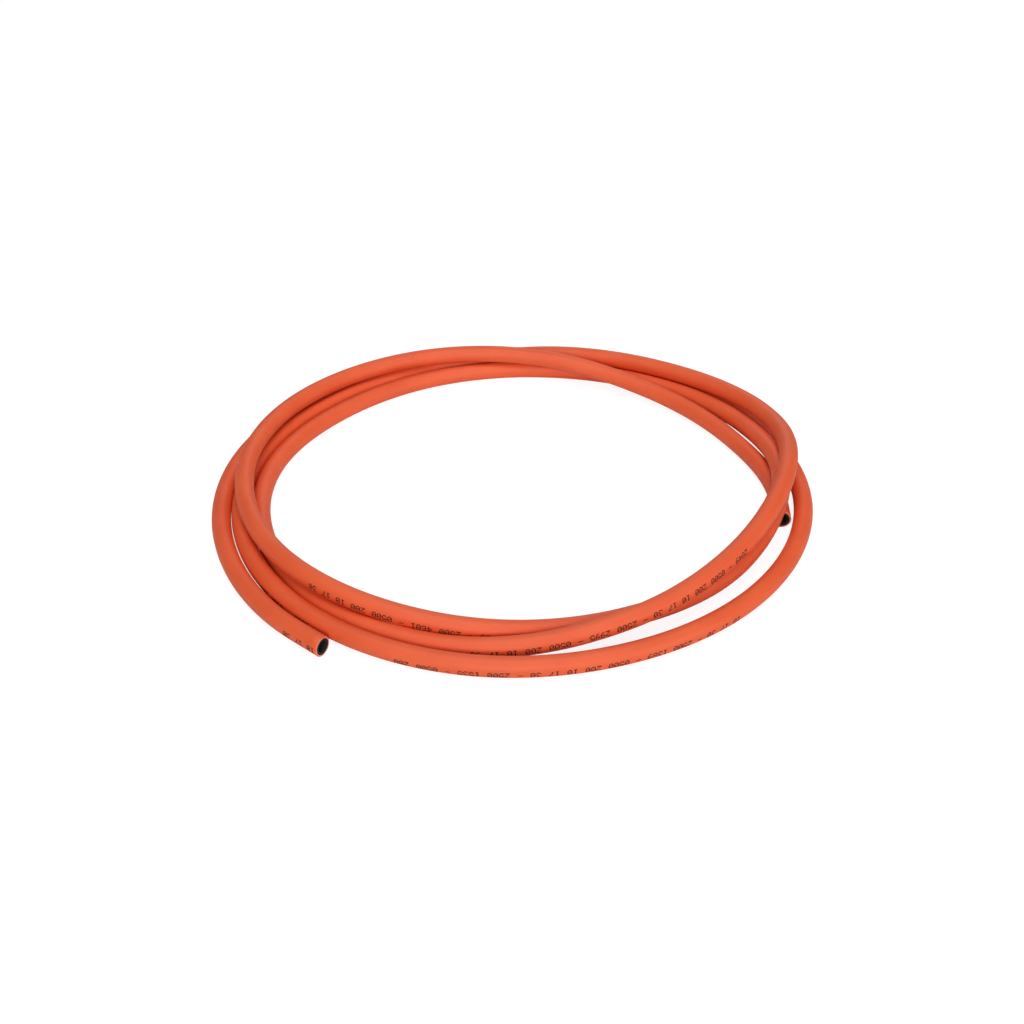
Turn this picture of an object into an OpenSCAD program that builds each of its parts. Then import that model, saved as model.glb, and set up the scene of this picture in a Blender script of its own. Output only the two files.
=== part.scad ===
// Rubber gas hose, cut square at both ends and lying on the ground in a loose coil of three
// and two-thirds turns. A black lining runs inside an orange cover, one bonded to the other.
// The origin is on the ground under the middle of the coil, with the nearer cut end at the
// front left (-X, -Y). Sizes are in millimetres.

/* [Hose] */
// Diameter of the bore, which a hose tail pushes into
bore_d = 10; // [6:0.5:13]
// Thickness of the black lining
lining_wall = 1.8; // [1:0.1:3]
// Thickness of the orange cover
cover_wall = 1.7; // [1:0.1:3]

/* [Coil] */
// Radius of the coil, to the line that its turns are wound about
coil_r = 250; // [220:5:400]
// Straight length at each cut end, left for a hose tail and a clip
tail_l = 28; // [15:1:60]

/* [Hidden] */
$fn = 96;

lining_d = bore_d + 2 * lining_wall;
hose_d = lining_d + 2 * cover_wall;

// Where the hose lies at each 30 degrees of its winding, in hose diameters: how far outside
// coil_r its centre runs, and how high it is lifted. A lift of 0 is on the ground, 1 is on
// top of one turn and 2 on top of two.
lay_step = 30;
lay = [
    // from the front cut end, up the left side on the outside and round the back on the ground
    [1.85, 0], [1.33, 0], [0.93, 0], [0.5, 0], [0.45, 0], [0.5, 0],
    [0.65, 0], [0.55, 0], [0.75, 0], [0.75, 0], [0.75, 0], [0.85, 0],
    // inside the first turn on the left, then over the top of everything at the right
    [0.75, 0.1], [0.3, 0.1], [-0.1, 0], [-0.55, 0], [-0.6, 0.1], [-0.45, 0.6],
    [-0.2, 0.95], [0.5, 1.3], [-0.3, 2.25], [-1, 1.35], [-0.8, 0.65], [-0.35, 0.05],
    // innermost on the left, and over one turn at the right
    [-0.3, 0], [-0.75, 0.05], [-1.15, 0], [-1.7, 0], [-1.7, 0], [-1.4, 0],
    [-0.75, 0.05], [-0.48, 0.5], [-0.52, 1.15], [-1.1, 0.2], [-1.7, 0], [-1.45, 0.35],
    // on top of the others along the left and the back, then down to the second cut end
    [-0.55, 1.05], [-0.25, 1.1], [-0.05, 1.15], [-0.15, 1.05], [-0.9, 1.1], [-1.85, 1],
    [-1.9, 0.3], [-1.55, 0.05], [-0.54, 0]
];
// Compass angle of the first of those points, from +X towards +Y. The hose is wound
// clockwise, seen from above.
first_angle = 232;
// Winding angle from one ring of the hose to the next, and of one more ring in each turn,
// where the second cut end lies close beside the other turns
ring_step = 18;
extra_ring = 243;

// The long run has flat sides, the last stretch at each cut end is truly round. The flat
// sides lie just inside the round surface, and each layer starts its flats one step further in.
sides = 12;
flat_inset = 0.2;
seam_step = 0.5;
cover_round_l = tail_l - 3 * seam_step;
lining_round_l = cover_round_l + seam_step;
bore_round_l = lining_round_l + seam_step;
overcut = 1;

// Smooth value of one column of the lay at a place u, in steps along it
function held(i) = max(0, min(len(lay) - 1, i));
function spline(p, t) =
    p[1] + t / 2 * (p[2] - p[0]
    + t * (2 * p[0] - 5 * p[1] + 4 * p[2] - p[3]
    + t * (3 * p[1] - p[0] - 3 * p[2] + p[3])));
function lay_at(u, column) =
    let (i = min(floor(u), len(lay) - 2))
    spline([for (j = [-1 : 2]) lay[held(i + j)][column]], u - i);

// Centre of the hose where it has been wound through an angle of a
function centre(a) =
    let (r = coil_r + hose_d * lay_at(a / lay_step, 0))
    let (lift = max(0, lay_at(a / lay_step, 1)))
    [r * cos(first_angle - a), r * sin(first_angle - a), hose_d * (0.5 + lift)];

// Level heading of the hose at each end of the winding, pointing out of the cut end
function unit(v) = v / norm(v);
function level(v) = unit([v[0], v[1], 0]);
wound = lay_step * (len(lay) - 1);
nudge = 1;
heading_a = level(centre(0) - centre(nudge));
heading_b = level(centre(wound) - centre(wound - nudge));

// Centres and headings of the rings: the straight tail, the winding, the other tail
ring_angles = [for (a = [0 : ring_step / 2 : wound])
    if (a % ring_step == 0 || a % 360 == extra_ring) a];
last = len(ring_angles) - 1;
tail_a = centre(0) + tail_l * heading_a;
tail_b = centre(wound) + tail_l * heading_b;
tail_in = tail_l / 2;
ring_centres = concat(
    [centre(0) + tail_in * heading_a],
    [for (a = ring_angles) centre(a)],
    [centre(wound) + tail_in * heading_b]);
ring_headings = concat(
    [-heading_a, -heading_a],
    [for (i = [1 : last - 1]) unit(centre(ring_angles[i + 1]) - centre(ring_angles[i - 1]))],
    [heading_b, heading_b]);

// Corners of one ring, the first of them straight below the centre
function ring(c, heading, r) =
    let (right = unit(cross(heading, [0, 0, 1])))
    let (up = cross(right, heading))
    [for (k = [0 : sides - 1]) c + r * (sin(360 * k / sides) * right - cos(360 * k / sides) * up)];
function skin(r) = [for (i = [0 : len(ring_centres) - 1])
    each ring(ring_centres[i], ring_headings[i], r)];

// Half of the whole coil's width and depth away from the middle of its winding
outer_skin = skin(hose_d / 2 - flat_inset);
xs = [for (p = outer_skin) p[0]];
ys = [for (p = outer_skin) p[1]];
middle = [(min(xs) + max(xs)) / 2, (min(ys) + max(ys)) / 2, 0];

// Tube with flat sides along all the rings, from an inner to an outer radius
module flat_tube(inner_r, outer_r) {
    rings = len(ring_centres);
    inner = rings * sides;
    end = (rings - 1) * sides;
    steps = [for (i = [0 : rings - 2], k = [0 : sides - 1]) [i * sides, k, (k + 1) % sides]];
    polyhedron(
        points = concat(skin(outer_r), skin(inner_r)),
        faces = concat(
            [for (s = steps) [s[0] + s[1], s[0] + s[2], s[0] + sides + s[1]]],
            [for (s = steps) [s[0] + s[2], s[0] + sides + s[2], s[0] + sides + s[1]]],
            [for (s = steps) inner_corner(s, inner, [s[2], s[1], sides + s[1]])],
            [for (s = steps) inner_corner(s, inner, [sides + s[2], s[2], sides + s[1]])],
            [for (k = [0 : sides - 1]) let (n = (k + 1) % sides) [k, inner + k, n]],
            [for (k = [0 : sides - 1]) let (n = (k + 1) % sides) [n, inner + k, inner + n]],
            [for (k = [0 : sides - 1]) let (n = (k + 1) % sides) [end + k, end + n, inner + end + k]],
            [for (k = [0 : sides - 1]) let (n = (k + 1) % sides)
                [end + n, inner + end + n, inner + end + k]]));
}
function inner_corner(s, inner, corners) = [for (c = corners) inner + s[0] + c];

// Rod that runs from a cut end back into the hose, starting beyond the cut where over is given
module rod_at(cut, heading, r, length, over = 0) {
    turn = atan2(heading[1], heading[0]);
    translate(cut) rotate([0, 0, turn]) translate([-length, 0, 0]) rotate([0, 90, 0])
        cylinder(r = r, h = length + over);
}
module both_ends(r, length, over = 0) {
    rod_at(tail_a, heading_a, r, length, over);
    rod_at(tail_b, heading_b, r, length, over);
}

// One layer of the wall, truly round at both cut ends
module layer(inner_d, outer_d, inner_round_l, outer_round_l) {
    difference() {
        union() {
            flat_tube(inner_d / 2 - flat_inset, outer_d / 2 - flat_inset);
            both_ends(outer_d / 2, outer_round_l);
        }
        both_ends(inner_d / 2, inner_round_l, overcut);
    }
}

module cover() {
    color([0.89, 0.34, 0.18])
        translate(-middle) layer(lining_d, hose_d, lining_round_l, cover_round_l);
}

module lining() {
    color([0.05, 0.05, 0.05])
        translate(-middle) layer(bore_d, lining_d, bore_round_l, lining_round_l);
}

cover();
lining();
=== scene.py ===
# Rubber gas hose in a loose coil: an orange cover over a black lining, with both ends cut
# open and a line of small printed digits along its outer side. Everything is in metres.
import math

import bpy
import numpy as np
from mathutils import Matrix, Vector


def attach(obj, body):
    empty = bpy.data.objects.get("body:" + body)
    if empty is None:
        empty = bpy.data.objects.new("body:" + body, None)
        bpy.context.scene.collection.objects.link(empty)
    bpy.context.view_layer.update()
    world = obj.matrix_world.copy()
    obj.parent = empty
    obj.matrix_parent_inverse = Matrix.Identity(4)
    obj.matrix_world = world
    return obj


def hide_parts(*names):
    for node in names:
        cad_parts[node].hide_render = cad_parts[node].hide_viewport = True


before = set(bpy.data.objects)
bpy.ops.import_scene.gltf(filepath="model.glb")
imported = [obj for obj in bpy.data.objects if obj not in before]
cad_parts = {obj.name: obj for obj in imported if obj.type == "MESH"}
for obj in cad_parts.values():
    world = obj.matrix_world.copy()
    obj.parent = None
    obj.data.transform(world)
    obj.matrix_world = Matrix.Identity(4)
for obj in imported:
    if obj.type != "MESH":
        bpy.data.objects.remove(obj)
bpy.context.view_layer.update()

# ---------------------------------------------------------------- sizes, as in the CAD source
HOSE_D = 0.017
LINING_D = 0.0136
BORE_D = 0.010
COIL_R = 0.250
TAIL_L = 0.028
FIRST_ANGLE = math.radians(232)
LAY_STEP = 30
# Where the hose lies at each 30 degrees of its winding, in hose diameters: out and lift
LAY = np.array([
    (1.85, 0), (1.33, 0), (0.93, 0), (0.5, 0), (0.45, 0), (0.5, 0),
    (0.65, 0), (0.55, 0), (0.75, 0), (0.75, 0), (0.75, 0), (0.85, 0),
    (0.75, 0.1), (0.3, 0.1), (-0.1, 0), (-0.55, 0), (-0.6, 0.1), (-0.45, 0.6),
    (-0.2, 0.95), (0.5, 1.3), (-0.3, 2.25), (-1, 1.35), (-0.8, 0.65), (-0.35, 0.05),
    (-0.3, 0), (-0.75, 0.05), (-1.15, 0), (-1.7, 0), (-1.7, 0), (-1.4, 0),
    (-0.75, 0.05), (-0.48, 0.5), (-0.52, 1.15), (-1.1, 0.2), (-1.7, 0), (-1.45, 0.35),
    (-0.55, 1.05), (-0.25, 1.1), (-0.05, 1.15), (-0.15, 1.05), (-0.9, 1.1), (-1.85, 1),
    (-1.9, 0.3), (-1.55, 0.05), (-0.54, 0)])
WOUND = LAY_STEP * (len(LAY) - 1)
# The coil's own centre, seen from the middle of its outline
COIL_CENTRE = np.array([0.0024756, 0.0030509, 0.0])

# ---------------------------------------------------------------- sizes of the look alone
# The third turn lies about 1 mm closer to the second where it climbs over it than the solids do
LAY[35:37] += [(0.0664, -0.0066), (-0.033, -0.0226)]
# The front cut is a little oblique, as a hand-held knife leaves it: sideways slope of its face
CUT_SLANT = 0.17
COVER_BEVEL = 0.0003
LINING_BEVEL = 0.00015
COVER_RING_STEP = 0.006
LINING_RING_STEP = 0.010
SIDES = 36
# Points of the route, about 1 mm apart, in each straight end and in the winding
TAIL_POINTS = 28
WOUND_POINTS = 5281
# The heading at a place is taken from this far before it to this far past it
HEADING_REACH = 0.004


# ---------------------------------------------------------------- the route
def lay_at(winding):
    """Smooth value of both columns of the lay at winding angles in degrees."""
    u = np.asarray(winding, float) / LAY_STEP
    i = np.clip(np.floor(u).astype(int), 0, len(LAY) - 2)
    t = (u - i)[:, None]
    p = [LAY[np.clip(i + j, 0, len(LAY) - 1)] for j in (-1, 0, 1, 2)]
    return p[1] + t / 2 * (p[2] - p[0] + t * (
        2 * p[0] - 5 * p[1] + 4 * p[2] - p[3] + t * (3 * p[1] - p[0] - 3 * p[2] + p[3])))


def centre(winding):
    """Centre of the hose where it has been wound through those angles."""
    out, lift = lay_at(winding).T
    r = COIL_R + HOSE_D * out
    a = FIRST_ANGLE - np.radians(winding)
    z = HOSE_D * (0.5 + np.maximum(lift, 0))
    return np.stack([r * np.cos(a), r * np.sin(a), z], 1) + COIL_CENTRE


def unit(v):
    return v / np.linalg.norm(v, axis=-1, keepdims=True)


def heading(at, before):
    """Level heading out of the hose at one end of the winding."""
    v = (centre([at]) - centre([before]))[0]
    v[2] = 0
    return unit(v)


HEAD_A = heading(0, 1)
HEAD_B = heading(WOUND, WOUND - 1)
CUT_A = centre([0])[0] + TAIL_L * HEAD_A
CUT_B = centre([WOUND])[0] + TAIL_L * HEAD_B

TAIL = np.arange(TAIL_POINTS) / TAIL_POINTS * TAIL_L
TURNS = np.linspace(0, WOUND, WOUND_POINTS)
# The centre line from one cut end to the other, with its length and winding angle so far
ROUTE = np.concatenate([CUT_A - np.outer(TAIL, HEAD_A), centre(TURNS),
                        CUT_B - np.outer(TAIL[::-1], HEAD_B)])
ALONG = np.concatenate([[0], np.cumsum(np.linalg.norm(np.diff(ROUTE, axis=0), axis=1))])
WINDING = np.concatenate([np.zeros(TAIL_POINTS), TURNS, np.full(TAIL_POINTS, WOUND)])
LENGTH = ALONG[-1]


def at_length(s):
    """Points on the route at lengths from the front cut end."""
    return np.stack([np.interp(s, ALONG, ROUTE[:, k]) for k in range(3)], 1)


def winding_at(s):
    """Winding angle of the hose at lengths from the front cut end."""
    return np.interp(s, ALONG, WINDING)


def frames_at(s):
    """Centres, headings, outward sides and tops of the hose at lengths s."""
    c = at_length(s)
    t = unit(at_length(np.minimum(s + HEADING_REACH, LENGTH))
             - at_length(np.maximum(s - HEADING_REACH, 0)))
    right = unit(np.cross(t, [0, 0, 1.0]))
    return c, t, -right, np.cross(right, t)


# ---------------------------------------------------------------- camera
def make_camera():
    """The photograph's view: 33 degrees above the floor, from 1.29 m."""
    elevation, distance = math.radians(32.8), 1.290
    image, focal_px, middle_x, middle_y = 1024, 1382.0, 516.4, 490.1
    data = bpy.data.cameras.new("camera")
    data.sensor_width = 36
    data.lens = 36 * focal_px / image
    data.shift_x = -(middle_x - image / 2) / image
    data.shift_y = (middle_y - image / 2) / image
    cam = bpy.data.objects.new("camera", data)
    away = np.array([0, -math.cos(elevation), math.sin(elevation)])
    cam.location = COIL_CENTRE + distance * away
    cam.rotation_euler = (math.pi / 2 - elevation, 0, 0)
    bpy.context.scene.collection.objects.link(cam)
    bpy.context.scene.camera = cam


make_camera()


# ---------------------------------------------------------------- meshes
def mesh_piece(name, verts, faces, materials, face_material=None, smooth=True):
    """A mesh that rides on the part, with one material index for each face."""
    me = bpy.data.meshes.new(name)
    me.from_pydata([tuple(v) for v in verts], [], [tuple(int(i) for i in f) for f in faces])
    for m in materials:
        me.materials.append(m)
    if face_material is not None:
        me.polygons.foreach_set("material_index", np.asarray(face_material, np.int32))
    me.polygons.foreach_set("use_smooth", np.full(len(me.polygons), smooth))
    me.update()
    ob = bpy.data.objects.new(name, me)
    bpy.context.scene.collection.objects.link(ob)
    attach(ob, "root")
    return ob


def tube(name, outer, inner, ring_step, bevel, materials):
    """Hollow tube along the route, with a slight round on the edges of its cut faces.
    Faces take the outside, the cut face and the inside material in that order. The mesh
    carries the length along the hose and the angle round it for the shaders."""
    s = np.linspace(0, LENGTH, int(LENGTH / ring_step))
    s = np.concatenate([[0, bevel], s[1:-1], [LENGTH - bevel, LENGTH]])
    c, t, out, up = frames_at(s)
    n, rings = SIDES, len(s)
    q = 2 * np.pi * np.arange(n) / n
    around = out[:, None] * np.sin(q)[None, :, None] - up[:, None] * np.cos(q)[None, :, None]
    # Only the two rings at the front cut lean
    lean = CUT_SLANT * np.sin(q)[:, None] * t[0]
    verts = []
    for radius, at_cut in ((outer, -bevel), (inner, bevel)):
        r = np.full(rings, radius)
        r[[0, -1]] += at_cut
        skin = c[:, None] + around * r[:, None, None]
        skin[:2] -= r[:2, None, None] * lean
        verts.append(skin.reshape(-1, 3))
    i, k = np.meshgrid(np.arange(rings - 1), np.arange(n), indexing="ij")
    i, k, k2 = i.ravel() * n, k.ravel(), (k.ravel() + 1) % n
    off = rings * n
    outside = np.stack([i + k, i + n + k, i + n + k2, i + k2], 1)
    inside = off + np.stack([i + k, i + k2, i + n + k2, i + n + k], 1)
    k = np.arange(n)
    k2 = (k + 1) % n
    end = (rings - 1) * n
    front = np.stack([k, k2, off + k2, off + k], 1)
    back = np.stack([end + k, off + end + k, off + end + k2, end + k2], 1)
    kinds = np.repeat([0, 2, 1], [len(outside), len(inside), len(front) + len(back)])
    ob = mesh_piece(name, np.concatenate(verts), np.concatenate([outside, inside, front, back]),
                    materials, kinds)
    along = ob.data.attributes.new("along", "FLOAT", "POINT")
    along.data.foreach_set("value", np.tile(np.repeat(s, n), 2).astype(np.float32))
    side = ob.data.attributes.new("round", "FLOAT_VECTOR", "POINT")
    ring = np.stack([np.sin(q), -np.cos(q), np.zeros(n)], 1)
    side.data.foreach_set("vector", np.tile(ring, (2 * rings, 1)).astype(np.float32).ravel())
    return ob, np.ascontiguousarray(c)


# ---------------------------------------------------------------- materials
class Nodes:
    """Short way to write a material's node tree."""

    def __init__(self, name):
        self.material = bpy.data.materials.new(name)
        self.material.use_nodes = True
        self.tree = self.material.node_tree
        self.shader = self.tree.nodes["Principled BSDF"]

    def feed(self, node, inputs):
        """Link each input to the socket given for it, or set it to the value given."""
        for key, value in inputs.items():
            if isinstance(value, bpy.types.NodeSocket):
                self.tree.links.new(value, node.inputs[key])
            else:
                node.inputs[key].default_value = value

    def add(self, kind, inputs=None, **settings):
        node = self.tree.nodes.new(kind)
        for key, value in settings.items():
            setattr(node, key, value)
        self.feed(node, inputs or {})
        return node

    def math(self, how, a, b):
        return self.add("ShaderNodeMath", {0: a, 1: b}, operation=how).outputs[0]

    def blend(self, a, share_a, b, share_b):
        """Sum of two values, each times its share."""
        return self.math("ADD", self.math("MULTIPLY", a, share_a),
                         self.math("MULTIPLY", b, share_b))

    def mix(self, share, a, b):
        return self.add("ShaderNodeMix", {0: share, 6: a, 7: b}, data_type="RGBA").outputs[2]

    def hose_space(self, stretch):
        """Coordinates that follow the hose, for streaks and specks: the circle round it and
        the length along it, times stretch."""
        side = self.add("ShaderNodeAttribute", attribute_name="round").outputs["Vector"]
        along = self.add("ShaderNodeAttribute", attribute_name="along").outputs["Fac"]
        parts = self.add("ShaderNodeSeparateXYZ", {0: side}).outputs
        x = self.math("MULTIPLY", parts[0], HOSE_D / 2)
        y = self.math("MULTIPLY", parts[1], HOSE_D / 2)
        z = self.math("MULTIPLY", along, stretch)
        return self.add("ShaderNodeCombineXYZ", {0: x, 1: y, 2: z}).outputs[0]

    def noise(self, vector, scale, detail, roughness=0.5):
        return self.add("ShaderNodeTexNoise", {"Vector": vector, "Scale": scale, "Detail": detail,
                                               "Roughness": roughness}).outputs[0]

    def ramp(self, value, low, high):
        """0 at low and 1 at high, with a straight line between them."""
        return self.add("ShaderNodeMapRange",
                        {0: value, 1: low, 2: high, 3: 0.0, 4: 1.0}).outputs[0]

    def bump(self, height, strength, distance):
        return self.add("ShaderNodeBump", {"Height": height, "Strength": strength,
                                           "Distance": distance}).outputs[0]


def rgb(r, g, b):
    """Linear colour from the 0-255 values that it shows as."""
    def lin(v):
        v /= 255
        return v / 12.92 if v <= 0.04045 else ((v + 0.055) / 1.055) ** 2.4
    return (lin(r), lin(g), lin(b), 1.0)


def cover_material():
    """Extruded orange rubber: faint streaks along it, soft clouds of shade and a fine matte
    grain."""
    m = Nodes("orange_rubber")
    streaks = m.noise(m.hose_space(stretch=0.012), scale=900, detail=3)
    cloud = m.noise(m.hose_space(stretch=0.6), scale=38, detail=3)
    grain = m.noise(m.hose_space(stretch=1.0), scale=2600, detail=2)
    streaky = m.math("MULTIPLY", m.ramp(streaks, low=0.5, high=0.75), 0.25)
    base = m.mix(m.ramp(cloud, low=0.35, high=0.7), rgb(231, 89, 41), rgb(237, 97, 49))
    m.feed(m.shader, {
        "Base Color": m.mix(streaky, base, rgb(215, 81, 40)),
        "Roughness": m.math("ADD", m.math("MULTIPLY", cloud, 0.14), 0.49),
        "Specular IOR Level": 0.55,
        "Normal": m.bump(m.blend(grain, 0.35, streaks, 0.65), strength=0.25, distance=0.00012)})
    return m.material


def plain_rubber(name, dark, light, roughness):
    """Rubber with a grain that follows the object, for cut faces and the lining."""
    m = Nodes(name)
    where = m.add("ShaderNodeTexCoord").outputs["Object"]
    grain = m.noise(where, scale=900, detail=4, roughness=0.65)
    coarse = m.noise(where, scale=180, detail=2)
    shade = m.ramp(m.blend(grain, 0.6, coarse, 0.4), low=0.35, high=0.65)
    m.feed(m.shader, {
        "Base Color": m.mix(shade, dark, light),
        "Roughness": m.math("ADD", m.math("MULTIPLY", grain, 0.2), roughness - 0.1),
        "Specular IOR Level": 0.35,
        "Normal": m.bump(grain, strength=0.4, distance=0.0002)})
    return m.material


ORANGE = cover_material()
CUT_FACE = plain_rubber("cut_orange_rubber", rgb(226, 120, 96), rgb(244, 160, 138), 0.75)
BLACK = plain_rubber("black_rubber", rgb(14, 13, 14), rgb(30, 28, 29), 0.7)
INK = plain_rubber("ink", rgb(54, 20, 14), rgb(82, 31, 21), 0.8)


# ---------------------------------------------------------------- the hose
cover, cover_line = tube("hose_cover", HOSE_D / 2, LINING_D / 2, COVER_RING_STEP, COVER_BEVEL,
                         [ORANGE, CUT_FACE, BLACK])
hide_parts("cover")
lining, _ = tube("hose_lining", LINING_D / 2, BORE_D / 2, LINING_RING_STEP, LINING_BEVEL,
                 [BLACK, BLACK, BLACK])
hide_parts("lining")

# ---------------------------------------------------------------- printed digits
# The seven rows of each sign, as hex numbers whose bits are its five columns
DIGITS = {
    "0": "0E 11 13 15 19 11 0E", "1": "04 0C 04 04 04 04 0E", "2": "0E 11 01 02 04 08 1F",
    "3": "1F 02 04 02 01 11 0E", "4": "02 06 0A 12 1F 02 02", "5": "1F 10 1E 01 01 11 0E",
    "6": "06 08 10 1E 11 11 0E", "7": "1F 01 02 04 08 08 08", "8": "0E 11 11 0E 11 11 0E",
    "9": "0E 11 11 0F 01 02 0C", "-": "00 00 00 1F 00 00 00",
}
COLUMNS = 5
MIDDLE_ROW = 3
DOT_PITCH = 0.00072
DOT_RISE = 0.00078
DOT_LONG = 0.00086
DOT_HIGH = 0.00080
LETTER = (COLUMNS + 1) * DOT_PITCH
# Space between two words, in letters
WORD_GAP = 1.2
# Height of the ink above the rubber
INK_RISE = 0.00004
# The words in turn, with None where the length along the hose is printed in millimetres
WORDS = ("10", "17", "30", "-", "2500", None, "-", "0500", "200")
# How far the first word lies from the front cut, and how far from the other cut the last word
# starts and the last dot lies at least
PRINT_START = 0.0015
LAST_WORD = 0.03
LAST_DOT = 0.006
# The hose lies a little twisted: the print's angle above its outer side, by winding angle,
# and the stretches where no print shows
PRINT_TURN = np.array([
    (0, -3), (5, -6), (15, -75), (230, -75), (279, -10), (300, -12), (343, -18), (358, -12),
    (373, -8), (400, -75), (560, -75), (600, 20), (622, 15), (650, 6), (690, -6), (722, -75),
    (1010, -75), (1048, -12), (1087, 2), (1120, -75), (1320, -75)])
NO_PRINT = ((3, 60), (235, 279), (341, 358), (374, 420), (560, 626), (692, 730),
            (1000, 1047), (1084, 1130))


def print_dots():
    """Length along the hose and height on its side of each dot, the tops of the digits down."""
    dots = []
    start, mark = PRINT_START, 0
    while start < LENGTH - LAST_WORD:
        word = WORDS[mark % len(WORDS)] or f"{int(start * 1000):04d}"
        if not any(a < winding_at(start) < b for a, b in NO_PRINT):
            for n, char in enumerate(word):
                for row, bits in enumerate(DIGITS[char].split()):
                    for col in range(COLUMNS):
                        if int(bits, 16) >> (COLUMNS - 1 - col) & 1:
                            dots.append((start + n * LETTER + col * DOT_PITCH,
                                         (row - MIDDLE_ROW) * DOT_RISE))
        start += (len(word) + WORD_GAP) * LETTER
        mark += 1
    s, v = np.array(dots).T
    keep = s < LENGTH - LAST_DOT
    return s[keep], v[keep]


def print_marks():
    """Small dot-matrix digits along the outer side of the hose."""
    s, v = print_dots()
    r = HOSE_D / 2
    turned = np.interp(winding_at(s), PRINT_TURN[:, 0], PRINT_TURN[:, 1])
    angle = np.radians(turned) + v / r
    corners = []
    for ds, dv in ((-0.5, -0.5), (0.5, -0.5), (0.5, 0.5), (-0.5, 0.5)):
        c, _, out, up = frames_at(s + ds * DOT_LONG)
        a = (angle + dv * DOT_HIGH / r)[:, None]
        corners.append(c + (r + INK_RISE) * (out * np.cos(a) + up * np.sin(a)))
    verts = np.stack(corners, 1).reshape(-1, 3)
    faces = np.arange(len(verts)).reshape(-1, 4)
    ob = mesh_piece("printed_digits", verts, faces, [INK], smooth=False)
    return ob


digits = print_marks()


# ---------------------------------------------------------------- floor and light
WHITE = (1, 1, 1, 1)
FLOOR_REACH = 8.0
# What the camera sees of the floor: its own glow, and a faint grey that takes the shadows
FLOOR_GLOW = 0.88
FLOOR_GREY = 0.24
# What the floor sends back to the hose
FLOOR_WHITE = 0.85
# The world as it lights the hose, and as the camera sees it, about as bright as the far floor
WORLD_LIGHT = 0.2
WORLD_SEEN = 0.93
# Name, place, aim, size and power
LAMPS = (
    ("key", (-0.3, -4.8, 2.1), (0, 0, 0.02), 2.6, 104),
    ("right", (3.5, -3.2, 1.5), (0, 0, 0.02), 2.4, 54),
    ("back", (0.4, 4.8, 2.2), (0, 0, 0.02), 2.6, 30),
    ("top", (0.0, -0.3, 2.6), (0, 0, 0), 1.8, 30))


def grey(v):
    return (v, v, v, 1)


def make_floor():
    """Plain white floor that keeps the hose's soft shadow."""
    m = Nodes("floor_white")
    m.feed(m.shader, {"Base Color": grey(FLOOR_WHITE), "Roughness": 0.9,
                      "Specular IOR Level": 0.1})
    seen = m.add("ShaderNodeLightPath").outputs["Is Camera Ray"]
    glow = m.add("ShaderNodeEmission", {"Color": WHITE, "Strength": FLOOR_GLOW}).outputs[0]
    faint = m.add("ShaderNodeBsdfDiffuse", {"Color": grey(FLOOR_GREY)}).outputs[0]
    white = m.add("ShaderNodeAddShader", {0: glow, 1: faint}).outputs[0]
    either = m.add("ShaderNodeMixShader", {0: seen, 1: m.shader.outputs[0], 2: white}).outputs[0]
    m.feed(m.tree.nodes["Material Output"], {"Surface": either})
    me = bpy.data.meshes.new("floor")
    e = FLOOR_REACH
    me.from_pydata([(-e, -e, 0), (e, -e, 0), (e, e, 0), (-e, e, 0)], [], [(0, 1, 2, 3)])
    me.materials.append(m.material)
    floor = bpy.data.objects.new("floor", me)
    bpy.context.scene.collection.objects.link(floor)


def area_light(name, place, aim, size, power):
    """Round lamp that faces its aim."""
    data = bpy.data.lights.new(name, "AREA")
    data.shape = "DISK"
    data.size = size
    data.energy = power
    ob = bpy.data.objects.new(name, data)
    ob.location = place
    ob.rotation_mode = "QUATERNION"
    ob.rotation_quaternion = (Vector(aim) - Vector(place)).to_track_quat("-Z", "Y")
    bpy.context.scene.collection.objects.link(ob)


def make_world():
    """White surroundings, weak as light and bright to the camera."""
    world = bpy.data.worlds.new("studio")
    world.use_nodes = True
    nodes, links = world.node_tree.nodes, world.node_tree.links
    light, seen = nodes["Background"], nodes.new("ShaderNodeBackground")
    for node, strength in ((light, WORLD_LIGHT), (seen, WORLD_SEEN)):
        node.inputs["Color"].default_value = WHITE
        node.inputs["Strength"].default_value = strength
    either = nodes.new("ShaderNodeMixShader")
    links.new(nodes.new("ShaderNodeLightPath").outputs["Is Camera Ray"], either.inputs[0])
    links.new(light.outputs[0], either.inputs[1])
    links.new(seen.outputs[0], either.inputs[2])
    links.new(either.outputs[0], nodes["World Output"].inputs["Surface"])
    bpy.context.scene.world = world


make_floor()
for lamp in LAMPS:
    area_light(*lamp)
make_world()
bpy.context.scene.view_settings.view_transform = "Standard"
